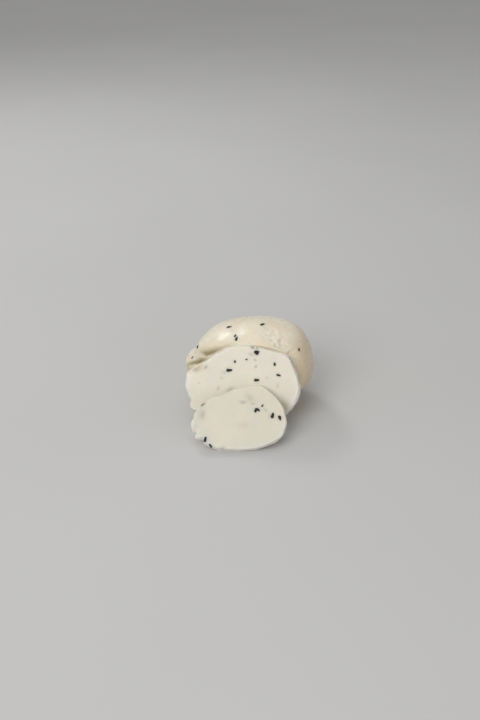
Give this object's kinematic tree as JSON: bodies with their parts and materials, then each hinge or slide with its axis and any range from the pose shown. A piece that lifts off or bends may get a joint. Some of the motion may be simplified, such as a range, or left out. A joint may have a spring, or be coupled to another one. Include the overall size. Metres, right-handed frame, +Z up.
{
  "type": "goat cheese ball with black seeds",
  "caption": "Cut ball of white goat cheese with black nigella seeds; thin slices taken from it lean against its cut face.",
  "frame": {"origin": "on the surface it stands on, under the middle of its box", "axes": "+Z up; Y runs from the front slice at -Y to the back of the ball at +Y; +X to the right as seen from the cut side"},
  "size_m": [0.0882, 0.113, 0.0585],
  "materials": {
    "cheese_skin": "moist satin skin, cream white, with black seeds",
    "cheese_cut": "smooth matte cut curd, cream white, with black seeds",
    "nigella_seed": "finely wrinkled seed coat, almost black, with a faint dull sheen"
  },
  "bodies": {
    "root": {"block": "cheese_skin", "middle_slice": "cheese_cut", "front_slice": "cheese_cut"}
  },
  "joints": []
}
